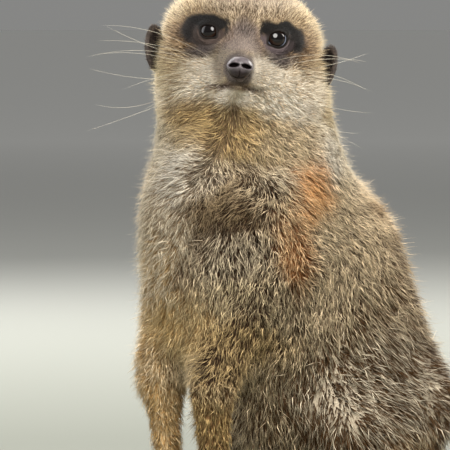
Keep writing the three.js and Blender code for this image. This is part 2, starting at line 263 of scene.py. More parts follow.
# Where the head's hair differs: the place, how large, how soft at the edge, and the hair's length,
# width and lift there. The places are in the head's frame, and on both sides of it.
HEAD_HAIR = [
    ((28, -10, -14), (16, 24, 18), 0.9, (6.2, 0.34, 38)),  # cheeks
    ((31, -4, 9), (8, 12, 9), 0.8, (6.5, 0.36, 44)),  # before the ears
    ((0, -16, -34), (30, 30, 12), 0.8, (7.5, 0.42, 38)),  # throat
    ((0, 18, -16), (36, 18, 20), 1.3, (7.0, 0.4, 36)),  # nape
    ((0, -24, 18), (20, 22, 13), 1.0, (3.3, 0.4, 42)),  # forehead
    ((0, -40, -18), (11, 16, 5), 0.9, (4.2, 0.32, 36)),  # chin
    ((16, -34, -8), (12, 14, 8), 0.9, (2.8, 0.3, 30)),  # under the eyes
    ((0, -44, -6), (9, 20, 14), 0.8, (1.4, 0.24, 24)),  # muzzle
    ((15.5, -24, 8), (10, 30, 7), 0.5, (1.7, 0.28, 26)),  # eye patches
    ((13.1, -24, 6.4), (7.6, 30, 7.2), 0.4, (0.8, 0.2, 24)),  # lids
    ((0, -50, -9), (8, 7, 7), 0.6, (0.9, 0.2, 20)),  # rim of the nose
]


def hair_at(points, edges):
    """The hair's length and width in mm and its lift in degrees, at the corners of a mesh."""
    region = regions_at(points)
    sizes = spread(np.array(list(HAIR.values()), float)[region], edges, 30)
    h = in_head(points)
    on_head = np.clip((h[:, 2] + 50) / 10, 0, 1)
    h[:, 0] = abs(h[:, 0])
    for centre, radii, soft, size in HEAD_HAIR:
        sizes += (on_head * blot(h, centre, radii, soft))[:, None] * (np.array(size) - sizes)
    return sizes


OUTER_GRAIN = 2 * MM  # the size of a face of the outer form
SKIN_GRAIN = 1.62 * MM  # and of the skin

skin = joined("skin", flesh + ["eye_left", "eye_right", "nose"])
# a little fuller, to make up for what smoothing takes off
set_points(skin, points_of(skin) + 0.25 * MM * normals_of(skin))
skin.data.remesh_voxel_size = OUTER_GRAIN
bpy.ops.object.voxel_remesh()
apply(skin, "SMOOTH", factor=0.5, iterations=14)

# drawn in by most of the height that the hair stands to
hair_sizes = hair_at(points_of(skin), edges_of(skin))
depth = 0.85 * hair_sizes[:, 0] * np.sin(np.radians(hair_sizes[:, 2]))
set_points(skin, points_of(skin) - MM * depth[:, None] * normals_of(skin))
skin.data.remesh_voxel_size = SKIN_GRAIN
bpy.ops.object.voxel_remesh()
apply(skin, "SMOOTH", factor=0.5, iterations=3)


def finer(wanted):
    """Splits each face of the skin whose middle is wanted, and evens out the points there."""
    middles = np.array([f.center for f in skin.data.polygons])
    chosen = wanted(middles)
    for part in (skin.data.vertices, skin.data.edges):
        part.foreach_set("select", np.zeros(len(part), bool))
    skin.data.polygons.foreach_set("select", chosen)
    bpy.context.tool_settings.mesh_select_mode = (False, False, True)
    alone(skin)
    bpy.ops.object.mode_set(mode="EDIT")
    bpy.ops.mesh.subdivide(number_cuts=1)
    bpy.ops.object.mode_set(mode="OBJECT")
    points = points_of(skin)
    even = spread(points, edges_of(skin), 4, 0.5)
    set_points(skin, np.where(wanted(points)[:, None], even, points))


def finer_on_head(wanted):
    finer(lambda points: wanted(in_head(points)))


# The head's skin is made finer, and finer still round the eyes, nose and mouth.
finer_on_head(lambda h: (h[:, 2] > -24) & (h[:, 1] < 6))
finer_on_head(lambda h: (h[:, 1] < -17) & (abs(h[:, 0]) < 24) & (abs(h[:, 2] + 3) < 18))
finer_on_head(lambda h: (h[:, 1] < -17) & (np.hypot(abs(h[:, 0]) - 13, h[:, 2] - 6.5) < 8.2))


FEET = [(foot, side) for foot in ("forefoot", "hindfoot") for side in ("left", "right")]
TOE_GROOVE = 0.95 * MM  # its half width
TOE_GROOVE_DEPTH = 1.7 * MM
TOE_LENGTH = 15 * MM


def claws_of(foot, side):
    return [f"{foot}_claw_{side}_{i}" for i in (1, 2, 3, 4)]


def between_toes(points):
    """1 in the grooves between neighbouring toes, and 0 away from them."""
    share = np.zeros(len(points))
    for foot, side in FEET:
        boxes = [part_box(name) for name in claws_of(foot, side)]
        roots = np.array([[(low[0] + high[0]) / 2, high[1]] for low, high in boxes])
        middle = roots[:, 0].mean()
        for gap in (roots[:-1] + roots[1:]) / 2:
            start = gap + [0, -3 * MM]
            run = np.array([0.2 * (middle - gap[0]), TOE_LENGTH])
            along = np.clip((points[:, :2] - start) @ run / (run @ run), 0, 1)
            off = np.linalg.norm(points[:, :2] - start - along[:, None] * run, axis=1)
            groove = bell(off, TOE_GROOVE) * ease(1 - along, 0, 0.4)
            share = np.maximum(share, groove * (points[:, 2] < 13 * MM))
    return share


LOOK = unit(np.array([0.36, -0.93, 0.02]))  # which way the left eye faces
EYE = np.array([12.7, -23.8, 7.0]) - 1.0 * LOOK  # its middle
EYE_RADIUS = 5.2
# from its axis to the corners, the upper lid and the lower lid, the left eye being wider open
OPENING = {1: (3.65, 2.75, 3.1), -1: (3.35, 2.2, 2.7)}
LID = 0.5  # its thickness
POCKET = 0.72  # how far out the pocket for the eye reaches, in openings
INNER_CORNER = math.radians(215)  # where it lies round the eye, seen from in front
# folds of skin under each eye: how far out, in openings, and how deep
LID_FOLDS = [(1.3, 0.2), (1.55, 0.22), (1.82, 0.2), (2.1, 0.16)]


def eye_frame(side):
    """The middle and the three axes of an eye: outwards over the face, up, and out of the head."""
    flip = np.array([side, 1, 1])
    look = LOOK * flip
    up = unit(np.array([0.0, 0, 1]) - look * look[2])
    return EYE * flip, np.array([np.cross(up, look) * side, up, look])


def round_eye(h, side):
    """Places in the head's frame as an eye has them, and how many openings they are from its axis."""
    middle, axes = eye_frame(side)
    local = (h - middle) @ axes.T
    angle = np.arctan2(local[:, 1], local[:, 0])
    turn = np.angle(np.exp(1j * (angle - INNER_CORNER)))
    reach = 1 + 0.2 * bell(turn, 0.32) + 0.06 * bell(abs(turn) - 3.0, 0.4)
    wide, above, below = OPENING[side]
    height = np.where(local[:, 1] > 0, above, below)
    far = np.hypot(local[:, 0] / wide, local[:, 1] / height) / reach
    return local, far


def open_lids(h, side):
    """Parts the lids: a rim with a sharp edge round the eye, and a pocket behind it for the eye."""
    middle, axes = eye_frame(side)
    local, far = round_eye(h, side)
    near = (far < 2.9) & (local[:, 2] > 0)
    a, b, c = local.T
    # the ring just inside the lid's edge is drawn out onto the edge
    edge = near & (far > POCKET) & (far < 1)
    grow_by = np.where(edge, 1 / np.maximum(far, 0.1), 1)
    a = a * grow_by
    b = b * grow_by
    off = np.minimum(np.hypot(a, b), EYE_RADIUS * 0.995)
    globe = np.sqrt(EYE_RADIUS**2 - off**2)
    shell = np.sqrt((EYE_RADIUS + LID) ** 2 - np.minimum(np.hypot(a, b), 4.1) ** 2)
    over = shell + 0.12 * bell(far - 1.12, 0.08)
    level = over + ease(far, 1.05, 2.0) * (c - over)
    under = ease(1.5 - b, 0, 2.5)
    for place, deep in LID_FOLDS:
        wavy = place + 0.04 * np.sin(3 * np.arctan2(b, a) + 9 * place)
        level -= deep * under * bell(far - wavy, 0.075)
    level = np.where(far < 1, globe + 0.1, level)
    level = np.where(far < POCKET, globe - 1.4, level)
    moved = np.stack([a, b, level], axis=1) @ axes + middle
    return np.where(near[:, None], moved, h)


def mouth_line(side):
    """How high the lips meet, that far to either side of the middle."""
    return -14.8 + 0.1 * np.maximum(side - 3, 0)


def shape_face(h):
    """Draws the muzzle, the mouth and the brows out of the plain form of the head."""
    x, y, z = h.T
    side = abs(x)
    # sides of the muzzle drawn in, so that it stands out from the cheeks
    muzzle = ease(-y, 26, 34) * ease(12 - side, -4, 6) * ease(z, -22, -14) * ease(8 - z, 0, 8)
    x = x * (1 - 0.06 * muzzle)
    # mouth: a groove under the nose that runs back and a little up to each corner
    line = mouth_line(side)
    depth = 1.1 * bell(z - line, 0.6) * ease(13.5 - side, 0, 3) * ease(-y, 23, 28)
    lip = 0.45 * bell(z - line - 1.5, 1.1) * ease(12 - side, 0, 5) * ease(-y, 24, 32)
    out = unit(np.stack([x, y + 24, (z + 12) * 0.6], axis=1))
    moved = np.stack([x, y, z], axis=1) + (lip - depth)[:, None] * out
    # a groove from between the eyes down the bridge, and brows that overhang the eyes
    x, y, z = moved.T
    brow = 0.8 * bell(side - 12, 7) * bell(z - 14.5, 3.2) * ease(-y, 10, 20)
    dip = 0.35 * bell(side, 1.6) * ease(-y, 24, 30) * ease(z, 0, 6)
    moved = moved + np.stack([0 * x, dip - brow, 0 * x], axis=1)
    # a hollow that the nose is set into
    bed = moved - NOSE_AT
    inside = ease(-np.linalg.norm(bed / [4.9, 4.8, 4.3], axis=1), -1.25, -1.0) * ease(-bed[:, 1], -1, 1.5)
    return moved + inside[:, None] * np.array([0, 2.2, 0])


forefeet = [middle_of("forefoot_left"), middle_of("forefoot_right")]
body_origin = (forefeet[0] + forefeet[1]) / 2 * [1, 1, 0] + MM * np.array([0, 36.5, 0])


def in_body(points):
    """Points in millimetres from the floor between the forelegs, square with the row's frame."""
    return (points - body_origin) / MM


FACING = np.array([0.6, -0.8, 0])  # out of the breast, over the left foreleg


def off_line(points, line):
    """How far points are from a line through several places, and the way to them from it.
    How deep they lie under it counts for little."""
    nearest = np.full(len(points), np.inf)
    way = np.zeros((len(points), 3))
    for start, end in zip(line[:-1], line[1:]):
        start = np.array(start, float)
        run = np.array(end, float) - start
        share = np.clip((points - start) @ run / (run @ run), 0, 1)
        off = points - start - share[:, None] * run
        off -= (0.85 * off @ FACING)[:, None] * FACING
        far = np.linalg.norm(off, axis=1)
        closer = far < nearest
        nearest[closer] = far[closer]
        way[closer] = unit(off[closer])
    return nearest, way


# Lines where the skin folds, and for each how wide and how deep the fold is: down the throat, over
# the left shoulder, and between the breast and the left foreleg.
PARTING = [(24, -30, 167), (20, -31, 158), (16, -32, 152), (15, -35, 146), (14, -38, 139)]
SHOULDER_FOLD = [(14, -42, 119), (22, -37, 122), (29, -30, 125), (31.5, -26, 127)]
ARM_EDGE = [(14, -38, 139), (15, -41, 130), (13, -42, 119)]
ARM_EDGE += [(12, -43, 108), (12, -42, 96), (11, -41, 84)]
CREASES = [(PARTING, 2.4, 1.0), (SHOULDER_FOLD, 4.0, 1.2), (ARM_EDGE, 3.0, 1.0)]

finer(lambda points: between_toes(points) > 0.02)
points = points_of(skin)
points -= TOE_GROOVE_DEPTH * between_toes(points)[:, None] * normals_of(skin)
for line, width, deep in CREASES:
    points -= MM * deep * bell(off_line(in_body(points), line)[0], width)[:, None] * normals_of(skin)
face = shape_face(in_head(points))
for side in (1, -1):
    face = open_lids(face, side)
set_points(skin, from_head(face))
smooth_shaded(skin)
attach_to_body(skin, "root")
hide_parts(*flesh)


# ---------------------------------------------------------------- eyes
# Two wet dark-brown eyes of glass, set deep behind their lids: a ball with the cornea's low
# bulge, a brown iris, a pupil that is wider than it is high, and a grey-blue white seen only at
# the rim. Each lies in the pocket that the lids leave for it.

def paint(red, green, blue):
    """A colour as the eye sees it, turned into the shares of light that it gives back."""
    shown = np.array([red, green, blue]) / 255
    return np.where(shown <= 0.04045, shown / 12.92, ((shown + 0.055) / 1.055) ** 2.4)


def feed(node, inputs):
    """Gives each named input of a node a value, or links it to the socket that feeds it."""
    for key, value in inputs.items():
        if isinstance(value, bpy.types.NodeSocket):
            node.id_data.links.new(value, node.inputs[key])
        else:
            node.inputs[key].default_value = value


def add_node(tree, kind, inputs, **settings):
    made = tree.nodes.new("ShaderNode" + kind)
    for key, value in settings.items():
        setattr(made, key, value)
    feed(made, inputs)
    return made


def new_material(name, **inputs):
    """A material, its tree of nodes, and its shader with the named inputs set."""
    material = bpy.data.materials.new(name)
    material.use_nodes = True
    shader = material.node_tree.nodes["Principled BSDF"]
    feed(shader, {key.replace("_", " "): value for key, value in inputs.items()})
    return material, material.node_tree, shader


def ramp(tree, source, stops):
    """A colour ramp over a value: pairs of a place and a colour."""
    made = add_node(tree, "ValToRGB", {"Fac": source})
    elements = made.color_ramp.elements
    while len(elements) < len(stops):
        elements.new(0.5)
    for element, (place, colour) in zip(elements, stops):
        element.position = place
        element.color = (*colour, 1)
    return made.outputs["Color"]


def mixed(tree, share, a, b):
    return add_node(tree, "Mix", {"Factor": share, "A": a, "B": b}, data_type="RGBA").outputs["Result"]


def attribute(tree, name):
    return add_node(tree, "Attribute", {}, attribute_name=name).outputs


# The mottle that eyes, nose, ears, claws and hide share, each with its own values: how strong the
# spots are, and two colours mixed by it.
mottle_group = bpy.data.node_groups.new("mottle", "ShaderNodeTree")
for name, way, kind in (
    ("Scale", "INPUT", "Float"),
    ("Detail", "INPUT", "Float"),
    ("Dark", "INPUT", "Color"),
    ("Pale", "INPUT", "Color"),
    ("Share", "OUTPUT", "Float"),
    ("Color", "OUTPUT", "Color"),
):
    mottle_group.interface.new_socket(name, in_out=way, socket_type="NodeSocket" + kind)
given = mottle_group.nodes.new("NodeGroupInput").outputs
place = add_node(mottle_group, "TexCoord", {}).outputs["Object"]
spots = {"Vector": place, "Scale": given["Scale"], "Detail": given["Detail"]}
spots = add_node(mottle_group, "TexNoise", spots).outputs["Fac"]
clear = add_node(mottle_group, "MapRange", {"Value": spots, "From Min": 0.3, "From Max": 0.7})
both = mixed(mottle_group, clear.outputs[0], given["Dark"], given["Pale"])
feed(mottle_group.nodes.new("NodeGroupOutput"), {"Share": spots, "Color": both})


def mottle(tree, scale, detail=2, dark=(0, 0, 0), pale=(1, 1, 1)):
    values = {"Scale": scale, "Detail": detail, "Dark": (*dark, 1), "Pale": (*pale, 1)}
    return add_node(tree, "Group", values, node_tree=mottle_group).outputs


IRIS_REACH = 0.67  # from the eye's axis, as shares of its radius
PUPIL_REACH = 0.36
PUPIL_WIDTH = 1.35  # for a height of 1
EYE_BROWN = paint(38, 23, 15)
EYE_DARK = paint(20, 11, 8)
EYE_WHITE = paint(138, 144, 162)
PUPIL_BLACK = (0.003, 0.002, 0.002, 1)

wet_eye, tree, shader = new_material(
    "wet_eye", Roughness=0.12, IOR=1.36, Coat_Weight=0.2, Coat_Roughness=0.04
)
# fine fibres make the edges of the iris uneven
fibres = {0: mottle(tree, 2600, 3)["Share"], 1: 0.09, 2: attribute(tree, "from_axis")["Fac"]}
iris = ramp(
    tree,
    add_node(tree, "Math", fibres, operation="MULTIPLY_ADD").outputs[0],
    [
        (0.40, EYE_DARK),
        (0.56, EYE_BROWN),
        (IRIS_REACH - 0.02, EYE_DARK * 0.6),
        (IRIS_REACH + 0.05, EYE_DARK * 0.8),
        (IRIS_REACH + 0.1, EYE_WHITE),
        (1.0, EYE_WHITE * 0.6),
    ],
)
pupil_edge = [(PUPIL_REACH, (0, 0, 0)), (PUPIL_REACH + 0.05, (1, 1, 1))]
outside = ramp(tree, attribute(tree, "from_pupil")["Fac"], pupil_edge)
feed(shader, {"Base Color": mixed(tree, outside, PUPIL_BLACK, iris)})


def attach(piece, name, values):
    """An attribute of that name at every corner point, a number or a colour."""
    if values.ndim == 1:
        piece.data.attributes.new(name, "FLOAT", "POINT").data.foreach_set("value", values)
    else:
        four = np.concatenate([values, np.ones((len(values), 1))], axis=1)
        piece.data.attributes.new(name, "FLOAT_COLOR", "POINT").data.foreach_set("color", four.ravel())


def ball(name, around, over):
    """A sphere of radius 1 at the origin, to be shaped."""
    bpy.ops.mesh.primitive_uv_sphere_add(segments=around, ring_count=over, radius=1)
    piece = bpy.context.object
    piece.name = name
    piece.data.name = name
    bpy.ops.object.shade_smooth()
    return piece


# which way each eye looks, outwards, up, and straight out of its lids
for name, side, glance in (("left", 1, (-0.12, 0.07, 0.99)), ("right", -1, (-0.02, 0.0, 1.0))):
    piece = ball("eyeball_" + name, 64, 48)
    local = points_of(piece)
    gaze = unit(np.array(glance))
    sideways = unit(np.array([gaze[2], 0, -gaze[0]]))
    local = local @ np.array([sideways, np.cross(gaze, sideways), gaze]).T
    off = np.hypot(local[:, 0], local[:, 1])
    off_pupil = np.hypot(local[:, 0] / PUPIL_WIDTH, local[:, 1])
    attach(piece, "from_axis", np.where(local[:, 2] > 0, off, 1))
    attach(piece, "from_pupil", np.where(local[:, 2] > 0, off_pupil, 1))
    bulge = 1 + 0.05 * ease(-off, -0.72, -0.35) * (local[:, 2] > 0)
    middle, axes = eye_frame(side)
    placed = (points_of(piece) * (EYE_RADIUS * bulge)[:, None]) @ axes + middle
    set_points(piece, from_head(placed))
    if np.linalg.det(axes) < 0:
        piece.data.flip_normals()
    piece.data.materials.append(wet_eye)
    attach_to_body(piece, "root")
    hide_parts("eye_" + name)


# ---------------------------------------------------------------- nose
# A bare pad of dark pebbled skin, wet, cast in resin, with two nostrils that curl out to its
# sides and a groove from between them down to the lip. It is set into the end of the muzzle.

NOSE_RADII = np.array([5.0, 4.8, 4.15])
# painted shade for the nostrils, the groove and the underside of the pad
NOSE_SHADE = paint(34, 26, 26)
NOSE_GREYS = [(0.3, paint(62, 56, 58)), (0.55, paint(94, 86, 89)), (0.75, paint(116, 107, 110))]
nose_leather, tree, shader = new_material(
    "nose_leather", Roughness=0.45, Coat_Weight=0.35, Coat_Roughness=0.3
)
place = add_node(tree, "TexCoord", {}).outputs["Object"]
pebbles = add_node(tree, "TexVoronoi", {"Vector": place, "Scale": 1900}).outputs["Distance"]
grain = add_node(tree, "Bump", {"Strength": 0.65, "Distance": 0.12 * MM, "Height": pebbles})
greys = ramp(tree, mottle(tree, 500)["Share"], NOSE_GREYS)
# it is painted darker in the nostrils, in the groove and underneath, as painted shade in those
# hollows and under the pad, and it is duller and drier there
dark = attribute(tree, "dark")["Fac"]
shine = add_node(tree, "MapRange", {"Value": dark, "To Min": 0.5, "To Max": 0.04})
wet = add_node(tree, "MapRange", {"Value": dark, "To Min": 0.3, "To Max": 0.0})
feed(
    shader,
    {
        "Base Color": mixed(tree, dark, greys, (*NOSE_SHADE, 1)),
        "Specular IOR Level": shine.outputs[0],
        "Coat Weight": wet.outputs[0],
        "Normal": grain.outputs["Normal"],
    },
)

pad = ball("nose_pad", 96, 72)
local = points_of(pad)
x, y, z = local.T
front = ease(-y, -0.1, 0.4)
side = abs(x)
# broad above, narrower below, and drawn back into the muzzle behind
shaped = local * NOSE_RADII
shaped[:, 0] *= 1 + 0.06 * bell(z - 0.1, 0.4) - 0.14 * ease(z, 0.2, 1) - 0.12 * ease(-z, 0, 1)
shaped[:, 1] += 2.5 * ease(y, 0, 1)
shaped[:, 2] += 0.35 * ease(side, 0.2, 0.7) * ease(z, 0, 0.6)
curl = np.hypot((side - 0.46) / 0.39, (z - 0.03 + 0.16 * (side - 0.46)) / 0.22)
hole = ease(-curl, -1.15, -0.6) * front
rim = bell(curl - 1.35, 0.2) * front * ease(-z, -0.2, 0.1)
groove = bell(x, 0.05) * ease(-z, 0.2, 0.45) * front
shaped += local * (0.13 * rim - 0.4 * groove)[:, None]
shaped += hole[:, None] * np.array([0, 3.6, 0.3])
set_points(pad, from_head(shaped + NOSE_AT + [0, 0, 0.5]))
# painted shade: darkest in the nostrils, less in the groove, and under the pad
attach(pad, "dark", np.clip(1.3 * hole + 0.3 * groove + 0.8 * ease(-z, 0.2, 0.6), 0, 1))
if np.linalg.det(head_axes) < 0:
    pad.data.flip_normals()
pad.data.materials.append(nose_leather)
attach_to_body(pad, "root")
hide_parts("nose")


# ---------------------------------------------------------------- ears
# Small round ears low on the sides of the head: a thin cupped shell of skin and gristle, with a
# rolled rim and a fold across the hollow. Each is rooted in the fur behind the cheek, and short
# dark hair is put on it with the coat.

EAR_DARK = paint(34, 27, 23)
ear_skin, tree, shader = new_material("ear_skin", Roughness=0.7)
feed(shader, {"Base Color": mottle(tree, 700, dark=EAR_DARK, pale=paint(66, 54, 47))["Color"]})
ears = []
for name in ("left", "right"):
    corners = points_of(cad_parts["ear_" + name])
    middle = (corners.min(axis=0) + corners.max(axis=0)) / 2
    # its height, its width and the way that its hollow faces
    up, across, out = np.linalg.svd(corners - corners.mean(axis=0), full_matrices=False)[2]
    up = up * np.sign(up[2])
    across = across - up * (across @ up)
    forwards = -head_axes[1]
    across = across * np.sign(across @ forwards)
    out = np.cross(up, across)
    opens = out @ forwards
    out *= np.sign(opens if abs(opens) > 0.2 else out @ unit(middle - head_origin))
    local_corners = (corners - middle) @ np.array([across, out, up]).T
    half = (local_corners.max(axis=0) - local_corners.min(axis=0)) / 2 * [1, 1, 0.88]
    middle = middle - up * 1.0 * MM
    piece = ball("ear_shell_" + name, 64, 48)
    s, t, r = points_of(piece).T[[0, 2, 1]]
    # s across, t up, r out of the hollow
    reach = np.hypot(s, t)
    open_side = ease(r, -0.05, 0.25)
    hollow = 1.5 * ease(-reach, -0.86, -0.45) * open_side
    fold = 0.7 * bell(np.hypot(s + 0.35, t + 0.1) - 0.55, 0.11) * open_side * ease(s, -0.3, 0.1)
    shaped = np.stack([s, r * 0.55 - hollow + fold * 0.8 - 0.25 * reach**2, t], axis=1) * half
    placed = shaped @ np.array([across, out, up]) + middle
    set_points(piece, placed)
    all_over(piece, bpy.ops.mesh.normals_make_consistent, inside=False)
    piece.data.materials.append(ear_skin)
    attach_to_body(piece, "root")
    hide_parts("ear_" + name)
    ears.append(piece)


# ---------------------------------------------------------------- claws
# Four long blunt claws on each foot, of dark horn paler at the tip, each a little hooked and
# rooted in the end of its toe. They are one piece to a foot here.

horn, tree, shader = new_material("claw_horn", Roughness=0.35, Coat_Weight=0.2)
streaks = mottle(tree, 400, dark=paint(40, 33, 28), pale=paint(84, 72, 60))
feed(shader, {"Base Color": streaks["Color"]})
for foot, side in FEET:
    piece = joined(f"{foot}_claws_{side}", claws_of(foot, side))
    apply(piece, "SUBSURF", levels=2, render_levels=2)
    smooth_shaded(piece)
    piece.data.materials.append(horn)
    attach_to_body(piece, "root")
    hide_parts(*claws_of(foot, side))


# ---------------------------------------------------------------- markings
# The colours of the coat, as its hair tips show them and as its roots and the skin do. Skin and
# hair take them from here alike: each region has its own, named spots are laid over it, and dark
# bars cross the back. Painted shade darkens the folds and the grooves between the toes, and some
# spots paint light and shade on one side of the face and on the body.

# Colours of hair and skin, by what they are called.
WHITE = (248, 241, 228)
CREAM = (232, 219, 194)
PALE = (242, 219, 182)
SILVER = (222, 208, 182)
STRAW = (214, 194, 152)
GOLD = (206, 178, 136)
TAN = (214, 182, 124)
HAZEL = (116, 88, 52)
OCHRE = (196, 164, 108)
RUST = (246, 190, 126)
FOX = (172, 112, 58)
FAWN = (148, 126, 94)
DRAB = (180, 163, 142)
BISTRE = (80, 62, 46)
WHEAT = (230, 203, 150)
ROSE = (132, 110, 98)
UMBRE = (152, 118, 80)
STONE = (156, 142, 120)
MAUVE = (150, 134, 126)
ASH = (82, 72, 73)
DUSK = (104, 92, 88)
BARK = (86, 62, 34)
UMBER = (60, 39, 20)
SLATE = (70, 59, 54)
LEAD = (46, 37, 33)
SOOT = (34, 27, 24)
BLACK = (15, 12, 10)

# For each region, the colour of the tips and of the roots.
REGION_COLOURS = {
    "head": (STRAW, FAWN),
    "neck": (CREAM, BARK),
    "chest": (PALE, UMBER),
    "rump": (PALE, BARK),
    "upper_arm": (PALE, UMBER),
    "forearm": (TAN, HAZEL),
    "forefoot": (TAN, HAZEL),
    "thigh": (CREAM, BARK),
    "shank": (TAN, HAZEL),
    "hindfoot": (TAN, HAZEL),
    "tail_base": (CREAM, UMBER),
    "tail_middle": (GOLD, BARK),
    "tail_tip": (SOOT, BLACK),
}

# Spots on both sides of the head: where, how large, how soft at the edge, how strong, tips, roots.
HEAD_SPOTS = [
    ((0, 16, -2), (44, 26, 36), 1.2, 0.85, CREAM, BISTRE),  # back of the head
    ((0, -16, 22), (20, 26, 15), 1.0, 0.85, DRAB, BISTRE),  # forehead
    ((25, -14, 18), (7, 20, 12), 1.0, 0.35, PALE, FAWN),  # sides of the crown
    ((0, -25, 17), (1.3, 18, 9), 1.2, 0.4, BARK, UMBER),  # line up the forehead
    ((0, -36, 2), (8.5, 13, 9.5), 0.7, 0.9, MAUVE, DUSK),  # bridge
    ((0.5, -30, 9), (2.2, 9, 4), 1.0, 0.5, DUSK, LEAD),  # stain on it
    ((15, -30, -10.5), (10, 14, 7.6), 0.9, 0.85, WHITE, SILVER),  # under the eye and beside the muzzle
    ((22, -22, -17), (12, 16, 7), 0.9, 0.85, WHITE, SILVER),  # jowl
    ((28, -14, -6), (9, 18, 10), 1.0, 0.6, STRAW, FAWN),  # cheek
    ((7.5, -41, -7), (5.0, 10, 6.5), 0.8, 0.9, STONE, DUSK),  # side of the muzzle
    ((0, -38, -18.6), (12, 11, 3.2), 0.9, 1.0, WHITE, CREAM),  # chin
    ((0, -34, -23.0), (10, 9, 2.4), 0.9, 0.6, STRAW, FAWN),  # under the chin
    ((0, -24, -32), (26, 22, 9), 1.2, 0.85, TAN, FAWN),  # throat
    ((25, -21, -18.5), (4, 9, 3.4), 1.0, 0.7, FAWN, BARK),  # mark on the jowl
    ((27, -18, 3), (7, 12, 10), 1.0, 0.5, GOLD, BARK),  # temple
    ((16, -22, 5.6), (11, 30, 8), 0.6, 0.85, UMBRE, BARK),  # rim of the eye patch
    ((18.5, -22, -2.2), (7.5, 30, 2.6), 0.9, 0.75, GOLD, BARK),  # its lower edge
    ((15.3, -22, 6.1), (8.4, 30, 5.2), 0.35, 1.0, SLATE, LEAD),  # eye patch
    ((12.2, -28, 0.8), (4.4, 30, 4.6), 0.7, 0.9, DUSK, LEAD),  # down from the inner corner
    ((15.5, -26, -1.8), (5.0, 30, 2.8), 0.9, 0.85, DUSK, LEAD),
    ((14.6, -24, 11.0), (7.6, 30, 2.3), 0.4, 1.0, BLACK, BLACK),  # brow
    ((9.8, -26, 10.2), (3.4, 30, 2.3), 0.5, 1.0, BLACK, BLACK),
    ((21.2, -20, 7.6), (2.4, 30, 4.0), 0.6, 0.95, SOOT, BLACK),  # outer end
    ((6.6, -28, 8), (1.2, 30, 4), 0.7, 0.95, BLACK, BLACK),  # beside the bridge
    ((0, -50, -9), (8.5, 9, 7.5), 0.5, 0.95, DUSK, LEAD),  # round the nose
    ((5, -36, -14.7), (7.5, 12, 1.3), 0.9, 0.9, ROSE, UMBER),  # line of the mouth
]

# What one side of the head has and the other hasn't. The right cheek and jowl are painted darker,
# as painted shade, and the left side of the muzzle, the jaw and the cheek whiter, as painted light.
ONE_SIDED_SPOTS_AND_PAINTED_LIGHT = [
    ((-26, -20, -12), (9, 16, 7), 1.0, 0.6, STRAW, FAWN),  # cheek, painted shade
    ((-20, -24, -24), (14, 14, 6), 1.2, 0.85, OCHRE, HAZEL),  # jowl, painted shade
    ((9, -38, -8.5), (5, 12, 6), 0.9, 0.85, WHITE, SILVER),  # beside the muzzle, painted light
    ((17, -27, -18.5), (11, 12, 5.5), 0.9, 0.9, WHITE, SILVER),  # jaw, painted light
    ((26, -18, -11), (9, 16, 7), 1.0, 0.5, WHITE, SILVER),  # cheek, painted light
    ((16.5, -24, 12.0), (4, 30, 1.8), 0.4, 1.0, BLACK, BLACK),  # brow
    ((19, -18, -33), (12, 20, 9), 1.0, 0.8, PALE, STONE),  # side of the throat
]

# Spots on the body, measured from the floor between the forelegs. Among them are painted light on
# the right foreleg and painted shade in the fold of the shoulder.
BODY_SPOTS = [
    ((-6, -42, 128), (20, 22, 34), 0.5, 0.95, CREAM, FAWN),  # breast
    ((-14, -38, 98), (20, 20, 20), 0.8, 0.8, CREAM, OCHRE),  # lower breast
    ((0, -42, 84), (20, 24, 13), 0.9, 0.9, WHEAT, OCHRE),  # fringe below it
    ((-20, -38, 46), (14, 26, 42), 0.8, 0.8, PALE, OCHRE),  # right foreleg, painted paler as painted light, for a leg that stands in shade
    ((0, -36, 153), (20, 24, 12), 0.8, 0.9, SILVER, STONE),  # foot of the throat
    ((40, 0, 152), (14, 24, 12), 0.9, 0.9, WHITE, FAWN),  # side of the neck
    ((30, -18, 146), (12, 14, 9), 0.8, 0.6, CREAM, BARK),  # top of the shoulder
    ((31, -12, 154), (14, 16, 10), 0.9, 0.8, PALE, STONE),  # beside the throat
    ((5, -40, 142), (12, 20, 12), 0.9, 0.6, WHITE, STONE),  # left of the parting
    ((24, -31, 139), (8, 14, 7), 0.9, 0.85, FAWN, UMBER),  # right of it
    ((23, -34, 127), (15, 20, 7), 0.8, 0.9, FAWN, UMBER),  # fold of the shoulder, painted darker as painted shade in the fold
    ((24, -34, 112), (12, 20, 12), 0.8, 0.6, SILVER, UMBER),  # below it
    ((28, -30, 92), (14, 20, 14), 0.9, 0.6, STRAW, UMBER),
    ((40, 0, 138), (22, 10, 10), 1.3, 0.9, RUST, FOX),  # behind the shoulder
    ((40, -9, 116), (20, 6, 14), 1.2, 0.5, RUST, FOX),  # down the upper arm
    ((40, -3, 104), (20, 6, 10), 1.2, 0.35, RUST, FOX),
    ((26, -28, 74), (14, 30, 14), 0.8, 0.8, TAN, UMBER),  # elbow
]


def waves(points, size, seed):
    """A smooth vector at each point that wanders over that many metres."""
    r = np.random.default_rng(seed)
    total = np.zeros((len(points), 3))
    for _ in range(7):
        total += np.sin(points @ (r.normal(size=(3, 3)) * 2 / size) + r.uniform(0, 6.3, 3))
    return total / 2.6


# Painted shade: dark lines along the folds, where shade falls: the line, its half width, how
# strong, tips, roots.
PAINTED_FOLD_SHADE = [
    (PARTING, 1.0, 0.85, BARK, UMBER),
    (SHOULDER_FOLD, 4.5, 0.7, BARK, UMBER),
    (ARM_EDGE, 3.0, 0.55, FAWN, UMBER),
]
BAR_PITCH = 11.5  # how far apart the broken dark bars are that cross the back


def among(region, *names):
    return np.isin(region, [regions.index(name) for name in names])


def lay_over(colours, amount, tip, root):
    """Lays two colours over those of tips and roots, by that amount at each point."""
    colours += amount[:, None, None] * (np.array([paint(*tip), paint(*root)]) - colours)


